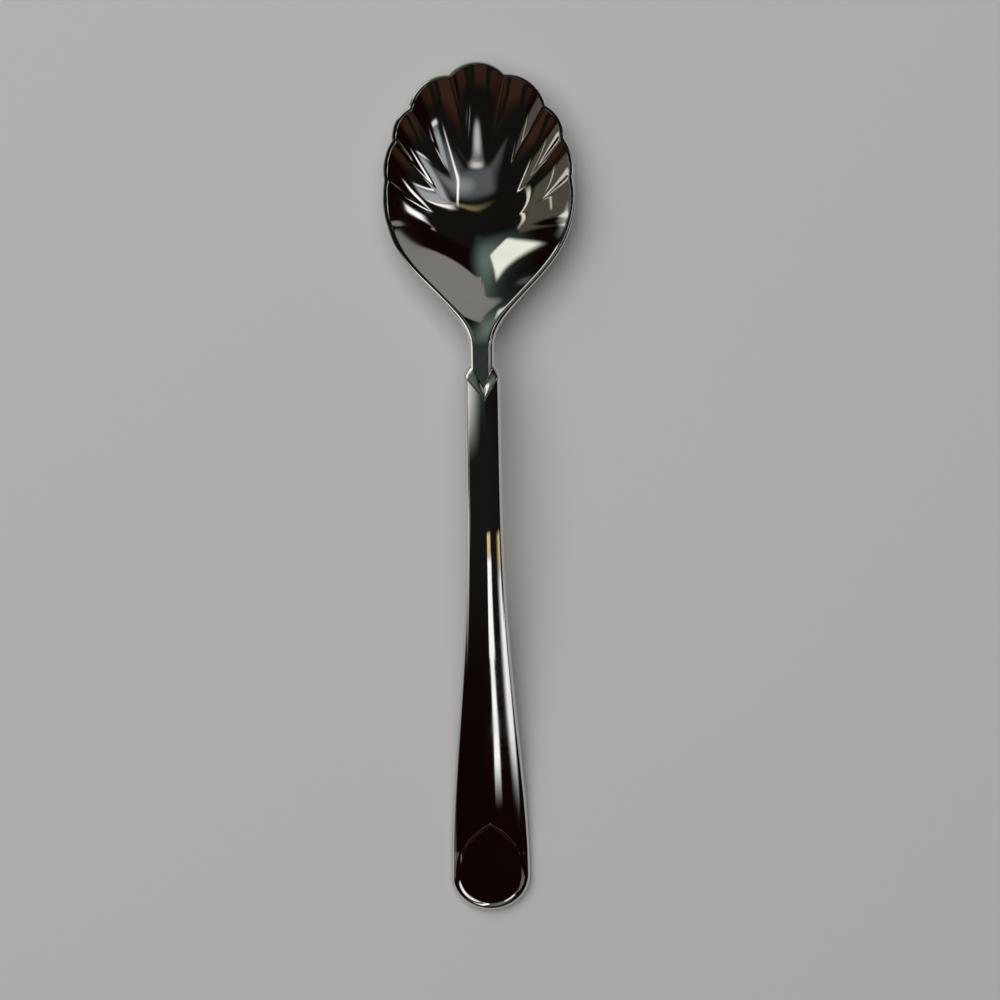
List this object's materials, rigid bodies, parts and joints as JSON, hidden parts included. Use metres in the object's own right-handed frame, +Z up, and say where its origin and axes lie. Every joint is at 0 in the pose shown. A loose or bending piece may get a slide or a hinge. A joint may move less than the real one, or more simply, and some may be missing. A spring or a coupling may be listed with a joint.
{
  "type": "sugar spoon",
  "caption": "Polished sugar spoon with a fluted, scalloped bowl, a slim neck and a hollow two-shell handle that ends in a sunk teardrop panel.",
  "frame": {"origin": "on the table surface, under the middle of the spoon's length", "axes": "+Y from the handle to the tip of the bowl, +Z up out of the bowl, +X to the right seen from above with the bowl away from the viewer"},
  "size_m": [0.0342, 0.1519, 0.015],
  "materials": {
    "polished_steel": "polished",
    "cement": "matte"
  },
  "bodies": {
    "root": {"bowl_and_shank": "polished_steel", "handle_front_shell": "polished_steel", "handle_back_shell": "polished_steel", "handle_filler": "cement"}
  },
  "joints": []
}
